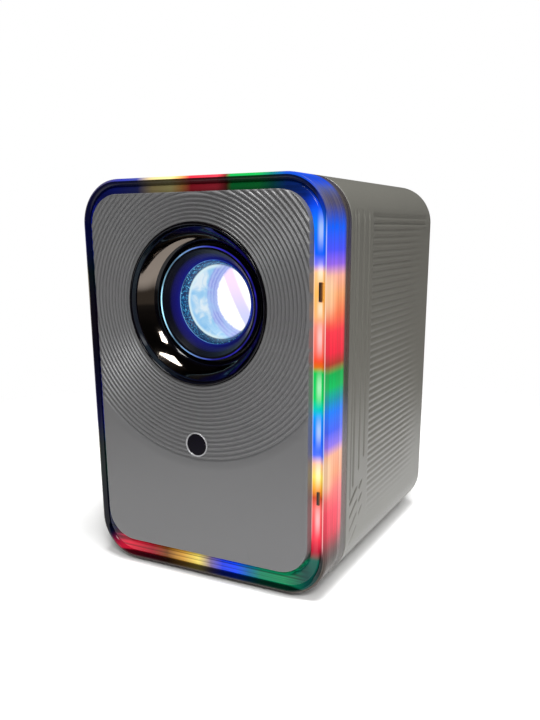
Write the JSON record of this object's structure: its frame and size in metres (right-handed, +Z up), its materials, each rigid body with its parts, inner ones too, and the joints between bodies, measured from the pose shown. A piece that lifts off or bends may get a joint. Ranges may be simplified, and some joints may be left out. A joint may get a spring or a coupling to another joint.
{
  "type": "projector with built in dvd player",
  "caption": "Tower-shaped home projector with a ribbed body, a lit front ring, a motor-focused lens and a side disc tray drive.",
  "frame": {"origin": "middle of the footprint at the level of the feet's undersides", "axes": "+Z up, the lens looks along -Y, +X to the right of a viewer who faces the lens"},
  "size_m": [0.156, 0.188, 0.232],
  "materials": {
    "warm_grey_abs": "fine moulded texture, warm grey",
    "mid_grey_abs": "fine moulded texture, neutral grey",
    "black_gloss": "polished piano black",
    "clear_acrylic": "polished clear plastic",
    "diffuser_acrylic": "translucent opal light guide",
    "black_abs": "plain black moulding",
    "smoked_window": "infrared pass window",
    "soft_rubber": "soft moulded feet",
    "nickel_brass": "turned insert",
    "zinc_steel": "zinc plated",
    "black_steel": "black oxide screws",
    "anodised_aluminium": "black anodised",
    "raw_aluminium": "extruded, natural",
    "optical_glass": "coated optical glass",
    "circuit_board": "green solder mask",
    "grey_acetal": "natural acetal gear",
    "white_acetal": "white acetal",
    "fan_plastic": "glass filled nylon",
    "tray_plastic": "black drive tray",
    "paper_cone": "pressed paper cone",
    "steel_shell": "nickel plated socket shell",
    "emissive_board": "white light strip board"
  },
  "bodies": {
    "housing": {"main_shell": "warm_grey_abs", "rear_cover": "warm_grey_abs", "front_panel": "mid_grey_abs", "light_ring": "clear_acrylic", "light_guide": "diffuser_acrylic", "led_strip": "emissive_board", "seam_ring": "black_abs", "front_frame": "black_abs", "lens_bezel": "black_gloss", "ir_window": "smoked_window", "ir_trim": "mid_grey_abs", "ir_receiver": "circuit_board", "rubber_feet": "soft_rubber", "tripod_insert": "nickel_brass", "rear_screws": "black_steel", "control_pad": "black_gloss", "control_board": "circuit_board", "lens_housing": "black_abs", "focus_motor": "zinc_steel", "engine_housing": "black_abs", "lcd_panel": "optical_glass", "fresnel_lens": "clear_acrylic", "condenser_lens": "optical_glass", "lamp_board": "raw_aluminium", "heat_sink": "raw_aluminium", "fan_frame": "fan_plastic", "drive_chassis": "zinc_steel", "main_board": "circuit_board", "board_spacers": "nickel_brass", "power_board": "circuit_board", "hdmi_socket": "steel_shell", "usb_sockets": "steel_shell", "av_jack": "black_abs", "dc_inlet": "black_abs", "switch_housing": "black_abs", "speaker_baskets": "black_steel", "speaker_cones": "paper_cone"},
    "barrel": {"lens_barrel": "anodised_aluminium", "lens_retainer": "anodised_aluminium", "front_lens": "optical_glass", "rear_lens": "optical_glass"},
    "focus_wheel": {"focus_gear": "white_acetal"},
    "pinion": {"focus_pinion": "grey_acetal"},
    "rotor": {"fan_rotor": "fan_plastic"},
    "tray": {"disc_tray": "tray_plastic", "tray_front": "warm_grey_abs", "spindle_motor": "zinc_steel", "guide_rods": "zinc_steel", "sled_motor": "zinc_steel"},
    "eject": {"eject_button": "warm_grey_abs"},
    "platter": {"turntable": "black_abs"},
    "sled": {"laser_sled": "black_abs", "pickup_lens": "optical_glass"},
    "screw": {"lead_screw": "zinc_steel"},
    "rocker": {"power_rocker": "black_gloss"},
    "button_power_cap": {"button_power": "mid_grey_abs"},
    "button_menu_cap": {"button_menu": "mid_grey_abs"},
    "button_select_cap": {"button_select": "mid_grey_abs"},
    "button_volume_down_cap": {"button_volume_down": "mid_grey_abs"},
    "button_volume_up_cap": {"button_volume_up": "mid_grey_abs"}
  },
  "joints": [
    {"name": "focus_wheel_turn", "type": "hinge", "parent": "housing", "child": "focus_wheel", "pos_m": [0, -0.047, 0.1638], "axis": [0, 1, 0], "range_deg": [-40, 40]},
    {"name": "pinion_turn", "type": "hinge", "parent": "housing", "child": "pinion", "pos_m": [0, -0.047, 0.1167], "axis": [0, 1, 0], "range_deg": [-228.7, 228.7]},
    {"name": "barrel_slide", "type": "slide", "parent": "housing", "child": "barrel", "axis": [0, 1, 0], "range_m": [-0.003, 0.003]},
    {"name": "fan_spin", "type": "hinge", "parent": "housing", "child": "rotor", "pos_m": [0, 0.084, 0.1638], "axis": [0, 1, 0], "continuous": true},
    {"name": "tray_slide", "type": "slide", "parent": "housing", "child": "tray", "axis": [-1, 0, 0], "range_m": [0, 0.122]},
    {"name": "eject_press", "type": "slide", "parent": "tray", "child": "eject", "axis": [1, 0, 0], "range_m": [0, 0.001], "stiffness_N_per_m": 600},
    {"name": "platter_spin", "type": "hinge", "parent": "tray", "child": "platter", "pos_m": [-0.013, 0.018, 0.037], "axis": [0, 0, 1], "continuous": true},
    {"name": "lead_screw_turn", "type": "hinge", "parent": "tray", "child": "screw", "pos_m": [0.01, 0.0396, 0.0343], "axis": [1, 0, 0], "range_deg": [0, 3125]},
    {"name": "sled_slide", "type": "slide", "parent": "tray", "child": "sled", "axis": [1, 0, 0], "range_m": [0, 0.026]},
    {"name": "rocker_tilt", "type": "hinge", "parent": "housing", "child": "rocker", "pos_m": [-0.046, 0.089, 0.0646], "axis": [1, 0, 0], "range_deg": [-8, 8]},
    {"name": "button_power_press", "type": "slide", "parent": "housing", "child": "button_power_cap", "axis": [0, 0, -1], "range_m": [0, 0.0007], "stiffness_N_per_m": 600},
    {"name": "button_menu_press", "type": "slide", "parent": "housing", "child": "button_menu_cap", "axis": [0, 0, -1], "range_m": [0, 0.0007], "stiffness_N_per_m": 600},
    {"name": "button_select_press", "type": "slide", "parent": "housing", "child": "button_select_cap", "axis": [0, 0, -1], "range_m": [0, 0.0007], "stiffness_N_per_m": 600},
    {"name": "button_volume_down_press", "type": "slide", "parent": "housing", "child": "button_volume_down_cap", "axis": [0, 0, -1], "range_m": [0, 0.0007], "stiffness_N_per_m": 600},
    {"name": "button_volume_up_press", "type": "slide", "parent": "housing", "child": "button_volume_up_cap", "axis": [0, 0, -1], "range_m": [0, 0.0007], "stiffness_N_per_m": 600}
  ],
  "couplings": [
    {"joint": "focus_wheel_turn", "follows": "barrel_slide", "rad_per_m": 232.56},
    {"joint": "pinion_turn", "follows": "barrel_slide", "rad_per_m": -1328.9},
    {"joint": "lead_screw_turn", "follows": "sled_slide", "rad_per_m": 2094.4}
  ]
}
